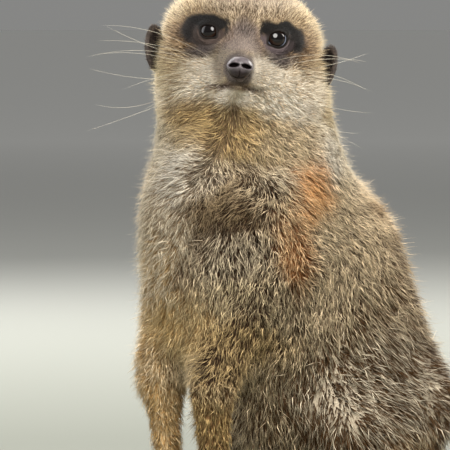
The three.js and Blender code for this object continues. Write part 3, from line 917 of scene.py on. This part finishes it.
def markings(points, normals, edges):
    """The colours of the tips and of the roots at each point of a skin."""
    region = regions_at(points)
    table = np.array([[paint(*tip), paint(*root)] for tip, root in REGION_COLOURS.values()])
    colours = spread(table[region], edges, 36)
    h = in_head(points) + 0.35 * waves(points, 3 * MM, 21)
    on_head = np.clip((h[:, 2] + 44) / 8, 0, 1)
    either_side = np.concatenate([abs(h[:, :1]), h[:, 1:]], axis=1)
    b = in_body(points) + 2.2 * waves(points, 8 * MM, 22)
    height = b[:, 2] + 1.5 * np.sin(b[:, 0] / 6) + waves(points, 14 * MM, 23)[:, 0] * 2
    bars = ease(np.cos(height * 2 * math.pi / BAR_PITCH), -0.1, 0.8)
    bars *= ease(normals[:, 1] + 0.35 * normals[:, 2], 0.15, 0.65)
    bars *= ease(b[:, 1], 8, 26) * ease(140 - b[:, 2], 0, 16)
    bars = spread(bars * among(region, "chest", "rump", "thigh"), edges, 4)
    lay_over(colours, bars * 0.95, HAZEL, UMBER)
    # the one-sided spots carry painted light and shade
    sets = [(BODY_SPOTS, b, 1), (HEAD_SPOTS, either_side, on_head), (ONE_SIDED_SPOTS_AND_PAINTED_LIGHT, h, on_head)]
    for spots, at, share in sets:
        for centre, radii, soft, strength, tip, root in spots:
            lay_over(colours, strength * share * blot(at, centre, radii, soft), tip, root)
    # painted shade along the folds
    for line, width, strength, tip, root in PAINTED_FOLD_SHADE:
        lay_over(colours, strength * bell(off_line(b, line)[0], width), tip, root)
    # painted shade in the grooves between the toes
    lay_over(colours, 0.85 * between_toes(points), BARK, LEAD)
    return colours[:, 0], colours[:, 1]


# ---------------------------------------------------------------- lie of the coat
# Which way the hair runs, as it is set into the skin: back from the nose over the head, down the
# neck, body and legs, forward over the toes, and along the tail.

TAIL = ("tail_base", "tail_middle", "tail_tip")
DOWN = np.array([0, 0, -1.0])
LIE = {
    "neck": DOWN,
    "chest": DOWN,
    "rump": np.array([0, 0.3, -1.0]),
    "upper_arm": DOWN,
    "forearm": DOWN,
    "forefoot": np.array([0, -1.0, -0.2]),
    "thigh": np.array([0, 0.4, -1.0]),
    "shank": np.array([0, -0.7, -0.7]),
    "hindfoot": np.array([0, -1.0, -0.1]),
}
# Hair combed another way at places on the body: where, how large, and which way.
COMBED = [
    ((6, -40, 150), (24, 24, 16), (-1, -1, -0.8)),  # left of the parting
    ((30, -24, 150), (14, 20, 14), (1, 1, -0.9)),  # right of the parting
    ((24, -32, 134), (14, 20, 8), (-1, -1, -0.3)),  # above the fold of the shoulder
    ((42, 6, 128), (16, 18, 24), (0.6, 0.9, -1)),  # over the shoulder blade
    ((28, -20, 72), (18, 26, 12), (-0.6, -0.8, -1)),  # under the elbow
]


def along_skin(ways, normals):
    return unit(ways - normals * np.sum(ways * normals, axis=1, keepdims=True))


def lie_of(points, normals, edges):
    """Unit vectors along the skin, the way the hair runs."""
    region = regions_at(points)
    h = in_head(points)
    away = unit(h - NOSE_AT)
    jaw = np.clip((-11 - h[:, 2]) / 8, 0, 1)[:, None]
    down = np.array([0.05, 0, 0]) * h[:, :1] + [0, 0.3, -0.8]
    away = unit(away + jaw * down)
    for side in (1, -1):
        local, far = round_eye(h, side)
        outward = unit(h - eye_frame(side)[0])
        share = (1.4 * ease(-far, -2.6, -1.5) * (h[:, 1] < -14))[:, None]
        away = unit(away + share * (outward - away * 0.7))
    lies = away @ head_axes
    for name, way in LIE.items():
        lies[region == regions.index(name)] = unit(way)
    base, middle, tip = (middle_of(n) for n in TAIL)
    for name, way in zip(TAIL, (middle - base, tip - base, tip - middle)):
        lies[region == regions.index(name)] = unit(way)
    b = in_body(points)
    for centre, radii, way in COMBED:
        share = (blot(b, centre, radii, 0.8) * (region != regions.index("head")))[:, None]
        lies = unit(lies + share * (unit(np.array(way, float)) * 1.5 - lies * 0.8))
    # from the parting down the throat it runs to either side
    far, way = off_line(b, PARTING)
    lies = unit(lies + (1.8 * bell(far, 9))[:, None] * way)
    for _ in range(4):
        lies = along_skin(spread(lies, edges, 2), normals)
    return lies


# ---------------------------------------------------------------- coat
# The hair, as solid tapered tufts rooted in the skin, dense short underfur with longer guard hairs
# through it. Each follows the lie of the coat, bends down over the tufts beyond it, and leans
# towards its neighbours so that they end in locks.

def solid(name, points, faces, sizes):
    """A mesh object from arrays: points, corner numbers in face order, and faces' corner counts."""
    mesh = bpy.data.meshes.new(name)
    mesh.vertices.add(len(points))
    mesh.vertices.foreach_set("co", points.ravel())
    mesh.loops.add(len(faces))
    mesh.loops.foreach_set("vertex_index", faces)
    mesh.polygons.add(len(sizes))
    mesh.polygons.foreach_set("loop_start", np.concatenate([[0], np.cumsum(sizes)[:-1]]).astype(int))
    mesh.polygons.foreach_set("loop_total", sizes)
    mesh.polygons.foreach_set("use_smooth", np.ones(len(sizes), bool))
    mesh.update(calc_edges=True)
    piece = bpy.data.objects.new(name, mesh)
    bpy.context.scene.collection.objects.link(piece)
    return piece


def unwrapped(at, faces):
    """Where the corners of those faces of the skin lie when it is cut and laid out flat."""
    used, corners = np.unique(faces, return_inverse=True)
    sheet = solid("pattern", at[used], corners.ravel(), np.full(len(faces), 3))
    all_over(sheet, bpy.ops.uv.smart_project, angle_limit=math.radians(66), island_margin=0.004)
    flat = rows(sheet.data.uv_layers.active.data, "uv", 2)
    bpy.data.objects.remove(sheet)
    return flat.reshape(-1, 3, 2)


def hair_faces(rings, around):
    """The corners and the corner counts of one tapered hair's faces: its rings, then its tip."""
    corners = [0, *range(around - 1, 0, -1)]
    sizes = [around]
    for k in range(rings):
        for i in range(around):
            a = around * k + i
            b = around * k + (i + 1) % around
            if k < rings - 1:
                corners += [a, b, b + around, a + around]
            else:
                corners += [a, b, around * rings]
            sizes.append(4 if k < rings - 1 else 3)
    return np.array(corners), np.array(sizes)


GUARDS = 0.36  # the share that are guard hairs, longer, thinner and paler at the tip
STRAYS = 0.08  # and of those, the share that stands up out of the coat
LOCK = 9  # tufts to a lock
LOCK_REACH = 2.2 * MM  # how far off it draws them
PATCH = 0.0015  # half the width of a tuft's patch on the map


def tufts(ground, faces, number, rings, spots, r):
    """The corner points, faces, colours and map of a number of tufts, rooted at random on faces."""
    weight = areas_of(ground["at"][faces]) * ground["thick"][faces].mean(axis=1)
    picked, share = scatter(r, weight, number)
    at = faces[picked]

    def here(values):
        return np.einsum("nk,nk...->n...", share, values[at])

    root = here(ground["at"])
    normal = unit(here(ground["normal"]))
    # each strays from the lie of the coat with its neighbours, and a little on its own
    wander = waves(root, 11 * MM, 5) * 0.25 + waves(root, 3 * MM, 6) * 0.25
    lie = unit(here(ground["lie"])) + wander + r.normal(0, 0.26, (number, 3))
    lie = along_skin(lie, normal)
    # how long, wide and steep each is, how bright, and how warm its root
    guard = r.random(number) < GUARDS
    stray = (r.random(number) < STRAYS) & guard
    size = here(ground["hair"])
    length = size[:, 0] * r.uniform(0.75, 1.1, number) * np.where(guard, 1.12, 0.82) * MM
    width = size[:, 1] * r.uniform(0.75, 1.15, number) * np.where(guard, 0.8, 1.12) * MM / 2
    lift = np.radians(size[:, 2] * r.uniform(0.7, 1.25, number) * (1 + 0.75 * stray))
    tone = np.where(guard, r.uniform(0.55, 1, number), r.uniform(0, 0.5, number))
    side = np.cross(lie, normal)
    warm = 1 + np.array([1.0, 0, -0.8]) * r.uniform(-0.02, 0.14, (number, 1))

    def along(share, angle):
        way = np.cos(angle)[:, None] * lie + np.sin(angle)[:, None] * normal
        return (length * share)[:, None] * way

    tip = root + along(1, lift * (0.8 if rings > 1 else 0.95))
    path = [root - 0.35 * MM * normal]
    if rings > 1:
        locks = near_tree(root, range(0, number, LOCK))
        leader = np.array([locks.find(p)[1] for p in root])
        pull = np.minimum(1, LOCK_REACH / np.linalg.norm(root - root[leader] + 1e-9, axis=1))
        lean = (0.25 * pull)[:, None] * (tip[leader] - tip)
        sway = (r.normal(0, 0.09, number) * length)[:, None] * side
        path.append(root + along(0.5, lift * 1.25) + lean * 0.4 + sway)
        tip = tip + lean
    path.append(tip)
    points = np.empty((number, 3 * rings + 1, 3))
    for k in range(rings):
        run = unit(path[k + 1] - path[k])
        out = np.cross(side, run)
        out *= np.sign(np.sum(out * normal, axis=1, keepdims=True))
        w = (width * (1 - 0.2 * k))[:, None]
        points[:, 3 * k] = path[k] + out * w * 0.7
        points[:, 3 * k + 1] = path[k] + side * w
        points[:, 3 * k + 2] = path[k] - side * w
    points[:, -1] = path[-1]
    points[:, :, 2] = np.maximum(points[:, :, 2], 0.1 * MM)  # the floor flattens it
    count = 3 * rings + 1
    corners, sizes = hair_faces(rings, 3)
    level = np.repeat(np.arange(rings + 1) / rings, [3] * rings + [1])
    patch = PATCH * np.stack([np.array([0, -1, 1] * rings + [0]), level * 2 - 1], axis=1)
    spot = np.einsum("nk,nkd->nd", share, spots[picked])
    return {
        "points": points.reshape(-1, 3),
        "corners": (corners + count * np.arange(number)[:, None]).ravel(),
        "sizes": np.tile(sizes, number),
        "map": (spot[:, None] + patch[corners]).reshape(-1, 2),
        "along": np.tile(level, number),
        "tone": np.repeat(tone, count),
        "tip_colour": np.repeat(here(ground["tip"]), count, axis=0),
        "root_colour": np.repeat(here(ground["root"]) * warm, count, axis=0),
    }


def grow(name, ground, faces, bent, straight, seed):
    """A coat piece: bent and straight tufts on those faces of the ground."""
    r = np.random.default_rng(seed)
    spots = unwrapped(ground["at"], faces)
    sets = [tufts(ground, faces, n, rings, spots, r) for rings, n in ((2, bent), (1, straight)) if n]
    if len(sets) > 1:
        sets[1]["corners"] += len(sets[0]["points"])
    whole = {key: np.concatenate([part[key] for part in sets]) for key in sets[0]}
    piece = solid(name, whole["points"], whole["corners"], whole["sizes"])
    for key in ("along", "tone", "tip_colour", "root_colour"):
        attach(piece, key, whole[key])
    piece.data.uv_layers.new(name="OFBake").data.foreach_set("uv", whole["map"].ravel())
    piece.data.materials.append(hair)
    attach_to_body(piece, "root")


# One finish for all the hair: each tuft runs from its root's colour to its tip's, at its own
# place along it, and no two are quite as bright as each other.
hair, tree, shader = new_material(
    "hair", Roughness=0.6, Specular_IOR_Level=0.2, Sheen_Weight=0.03, Sheen_Roughness=0.5
)
tone = attribute(tree, "tone")["Fac"]
shifted = {0: tone, 1: 0.55, 2: attribute(tree, "along")["Fac"]}
shifted = add_node(tree, "Math", shifted, operation="MULTIPLY_ADD").outputs[0]
reach = {"Value": shifted, "From Min": 0.78, "From Max": 1.1}
reach = add_node(tree, "MapRange", reach, interpolation_type="SMOOTHSTEP").outputs[0]
bright = add_node(tree, "MapRange", {"Value": tone, "To Min": 0.7, "To Max": 1.3}).outputs[0]
ends = [attribute(tree, name)["Color"] for name in ("root_colour", "tip_colour")]
toned = {0: mixed(tree, reach, *ends), "Scale": bright}
toned = add_node(tree, "VectorMath", toned, operation="SCALE").outputs[0]
feed(shader, {"Base Color": toned})

# The skin under it is mottled in the same two colours, and finely wrinkled where it is bare.
hide, tree, shader = new_material("hide", Roughness=0.7, Specular_IOR_Level=0.2)
ends = [attribute(tree, name)["Color"] for name in ("root_colour", "tip_colour")]
wrinkles = {"Strength": 0.6, "Distance": 0.15 * MM, "Height": mottle(tree, 1400, 4)["Share"]}
wrinkles = add_node(tree, "Bump", wrinkles).outputs["Normal"]
feed(shader, {"Base Color": mixed(tree, mottle(tree, 900)["Share"], *ends), "Normal": wrinkles})
skin.data.materials.append(hide)

coat_trios = trios_of(skin)
at = points_of(skin)
edges = edges_of(skin)
body = {"at": at, "normal": unit(spread(normals_of(skin), edges, 3)), "hair": hair_at(at, edges)}
body["tip"], body["root"] = markings(at, body["normal"], edges)
body["lie"] = lie_of(at, body["normal"], edges)
# The lids are bare and dark, with a paler ring under each eye.
h = in_head(at)
for side in (1, -1):
    local, far = round_eye(h, side)
    under = ease(1.2 - local[:, 1], 0, 2.2)
    ring = ASH if side > 0 else SLATE
    for colour, edge, where in ((ring, 2.1, under), (SOOT, 1.3, 1), (BLACK, 1.14, 1)):
        amount = (where * ease(-far, -edge - 0.12, -edge + 0.12) * (h[:, 1] < -18))[:, None]
        body["root"] += amount * (paint(*colour) - body["root"])
        body["tip"] += amount * (paint(*colour) * 1.2 - body["tip"])
attach(skin, "tip_colour", body["tip"])
attach(skin, "root_colour", body["root"])
# No hair grows on the nose, in the eyes, along the lips and the parting, or between the toes.
bare = blot(h, NOSE_AT + [0, -1, 0.4], (5.3, 5, 4.3), 0.1)
for side in (1, -1):
    local, far = round_eye(h, side)
    edge = 1.1 + 0.35 * ease(-local[:, 1], -1.2, 1.2)
    bare = np.maximum(bare, ease(edge - far, 0, 0.1) * (h[:, 1] < -18))
on_lips = (h[:, 1] < -25) * (abs(h[:, 0]) < 11.5)
lips = bell(h[:, 2] - mouth_line(abs(h[:, 0])), 0.95) * on_lips
parting = bell(off_line(in_body(at), PARTING)[0], 1.1)
for share, gone in ((0.9, lips), (0.8, parting), (0.8, between_toes(at))):
    bare = np.maximum(bare, share * gone)
body["thick"] = (1 - bare) / (body["hair"][:, 0] * body["hair"][:, 1])

centre = at[coat_trios].mean(axis=1)
face_region = regions_at(centre)
h = in_head(centre)
b = in_body(centre)
head = among(face_region, "head")
low = head & (h[:, 2] + 0.25 * h[:, 1] < -17)
front = head & ~low & (h[:, 1] < -17)
trunk = among(face_region, "chest")
near = b[:, 0] + b[:, 1] * 0.5 > -12
arms = among(face_region, "upper_arm", "forearm", "forefoot")
neck = among(face_region, "neck")
rump = among(face_region, "rump")
legs = among(face_region, "thigh", "shank", "hindfoot")
tail = among(face_region, *TAIL)
# Each piece of the coat: where it grows, and how many bent and straight tufts it has.
PIECES = [
    ("coat_face", front, 0, 46000),
    ("coat_crown", head & ~low & ~front, 0, 36000),
    ("coat_cheeks", low, 8000, 26000),
    ("coat_neck", neck, 7000, 26000),
    ("coat_chest", trunk & near, 8000, 27500),
    ("coat_flank", trunk & ~near, 3000, 22500),
    ("coat_arm_left", arms & (b[:, 0] > 0), 6000, 22000),
    ("coat_arm_right", arms & (b[:, 0] <= 0), 2000, 12500),
    ("coat_rump", rump, 3000, 25000),
    ("coat_legs", legs, 2000, 24000),
    ("coat_tail", tail, 1000, 8000),
]
for seed, (name, chosen, bent, straight) in enumerate(PIECES):
    grow(name, body, coat_trios[chosen], bent, straight, seed)

# The ears' own short hair lies up and back over the shell.
for seed, shell in enumerate(ears):
    at = points_of(shell)
    normal = normals_of(shell)
    count = len(at)
    lie = np.tile(head_axes[1] * 0.5 + head_axes[2], (count, 1))
    ear = {
        "at": at,
        "normal": normal,
        "lie": along_skin(lie, normal),
        "hair": np.tile([1.5, 0.2, 24.0], (count, 1)),
        "thick": np.ones(count),
        "tip": np.tile(paint(96, 82, 70), (count, 1)),
        "root": np.tile(EAR_DARK, (count, 1)),
    }
    grow(shell.name.replace("shell", "hair"), ear, trios_of(shell), 0, 4000, 40 + seed)


# ---------------------------------------------------------------- whiskers
# Long stiff pale hairs, thick as a bristle at the root and drawn out to nothing: three rows on
# each side of the muzzle, a few over the eyes and on the cheeks. One joined piece, its hairs set
# into the skin.

# Root, tip, and how far the middle stands off the straight line, in the head's frame, in mm.
WHISKERS = [
    ((8.0, -43, -7.0), (52, -27, 1), (0, -2, 4)),
    ((8.4, -42, -8.4), (53, -30, -2), (0, -2, 3)),
    ((8.8, -42, -9.8), (55, -25, -8.5), (0, -2, 5)),
    ((9.2, -41, -11.2), (57.5, -27, -15), (0, -3, -3)),
    ((8.8, -41, -12.6), (54, -28, -12.5), (0, -2, 4)),
    ((8.2, -40, -13.6), (51, -24, -33), (0, -2, -1)),
    ((6.6, -45, -9.8), (42, -42, -19), (0, -2, 2)),
    ((6.2, -45, -12.0), (36, -44, -27), (0, -2, 1)),
    ((24, -20, -4.0), (50, -19, 5), (0, -1, -1)),
    ((26, -18, -19.0), (53, -16, -26), (0, -1, -3)),
    ((14, -24, 14.0), (27, -33, 31), (1, -2, 2)),
    ((11, -25, 14.0), (18, -36, 30), (0, -3, 2)),
]
ROUND = 5  # corners round a whisker
RINGS = 12
bristle, tree, shader = new_material("whisker", Roughness=0.35)
paler = [(0.1, paint(116, 100, 82)), (0.6, paint(240, 232, 210))]
feed(shader, {"Base Color": ramp(tree, attribute(tree, "along")["Fac"], paler)})
r = np.random.default_rng(77)
rounds = np.linspace(0, 1, RINGS + 1)
turns = np.arange(ROUND)[:, None] * 2 * math.pi / ROUND
points = []
for side, stretch in ((1, 1), (-1, 1.1)):
    for root, tip, off in WHISKERS:
        root, tip, off = (np.array(v, float) * [side, 1, 1] for v in (root, tip, off))
        root = root + r.normal(0, 0.3, 3)
        tip = root + (tip - root) * stretch + r.normal(0, 2.0, 3)
        line = root + rounds[:, None] * (tip - root) + (4 * rounds * (1 - rounds))[:, None] * off
        line[0] += unit(root - tip) * 2
        run = unit(np.gradient(line, axis=0))
        across = unit(np.cross(run, [0.0, 0.3, 1]))
        upward = np.cross(run, across)
        thick = 0.055 * (1 - rounds) ** 0.8 + 0.015
        for k in range(RINGS):
            points.append(line[k] + thick[k] * (np.cos(turns) * across[k] + np.sin(turns) * upward[k]))
        points.append(line[-1:])
corners, sizes = hair_faces(RINGS, ROUND)
count = 2 * len(WHISKERS)
corners = (corners + (RINGS * ROUND + 1) * np.arange(count)[:, None]).ravel()
piece = solid("whiskers", from_head(np.concatenate(points)), corners, np.tile(sizes, count))
attach(piece, "along", np.tile(np.append(np.repeat(rounds[:-1], ROUND), 1), count))
all_over(piece, bpy.ops.mesh.normals_make_consistent, inside=False)
piece.data.materials.append(bristle)
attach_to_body(piece, "root")


# ---------------------------------------------------------------- floor, light and camera
# A plain pale studio: a floor of paper, four soft lamps, and a long lens at the height of the
# animal's chin, which looks at it across its left shoulder.

CAMERA_FROM = np.array([math.sin(math.radians(45)), -math.cos(math.radians(45)), 0.035])
CAMERA_AWAY = 2.6
FIELD = 0.18  # what the view takes in from side to side at the face
SENSOR = 36

bpy.ops.mesh.primitive_circle_add(vertices=96, radius=40, fill_type="NGON", location=(0, 0, 0))
floor = bpy.context.object
floor.name = "floor"
# the paper is painted darker near the animal, where the lamps light it most, and paler far off,
# where their light falls away: painted shade and light, so that it meets the backdrop without a line
paper, tree, shader = new_material("studio_paper", Roughness=0.9, Specular_IOR_Level=0.1)
place = add_node(tree, "TexCoord", {}).outputs["Object"]
far_off = add_node(tree, "VectorMath", {0: place}, operation="LENGTH").outputs["Value"]
tens = add_node(tree, "Math", {0: far_off, 1: 10}, operation="DIVIDE").outputs[0]
greys = [(0.05, (0.22, 0.23, 0.2)), (0.7, (0.97, 0.97, 0.95))]
feed(shader, {"Base Color": ramp(tree, tens, greys)})
floor.data.materials.append(paper)

target = from_head([0, 0, 0]) + MM * np.array([-4.2, -4.2, -66.5])
camera_data = bpy.data.cameras.new("camera")
camera = bpy.data.objects.new("camera", camera_data)
bpy.context.scene.collection.objects.link(camera)
away = unit(CAMERA_FROM)
camera.location = target + away * CAMERA_AWAY
camera.rotation_mode = "QUATERNION"
camera.rotation_quaternion = Vector(-away).to_track_quat("-Z", "Y")
camera_data.sensor_width = SENSOR
camera_data.lens = SENSOR * CAMERA_AWAY / FIELD
bpy.context.scene.camera = camera

LIT = Vector((0, 0, 0.12))  # what the lamps point at


def lamp(name, place, size, power, colour):
    data = bpy.data.lights.new(name, "AREA")
    data.shape = "DISK"
    data.size = size
    data.energy = power
    data.color = colour
    thing = bpy.data.objects.new(name, data)
    thing.location = place
    thing.rotation_mode = "QUATERNION"
    thing.rotation_quaternion = (Vector(place) - LIT).to_track_quat("Z", "Y")
    bpy.context.scene.collection.objects.link(thing)


# where each stands, how wide it is, its power and its colour
lamp("key_lamp", (1.75, -1.2, 1.5), 1.6, 112, (1, 0.97, 0.92))
lamp("fill_lamp", (-2.1, -1.2, 0.9), 3.2, 70, (0.97, 0.98, 1))
lamp("side_lamp", (0.4, 1.9, 1.2), 1.2, 44, (1, 0.96, 0.9))
lamp("rim_lamp", (-1.5, 0.7, 1.3), 1.2, 36, (1, 0.98, 0.95))
world = bpy.data.worlds.new("studio")
world.use_nodes = True
world.node_tree.nodes["Background"].inputs["Color"].default_value = (0.8, 0.8, 0.78, 1)
world.node_tree.nodes["Background"].inputs["Strength"].default_value = 0.3
bpy.context.scene.world = world
bpy.context.scene.view_settings.view_transform = "Standard"
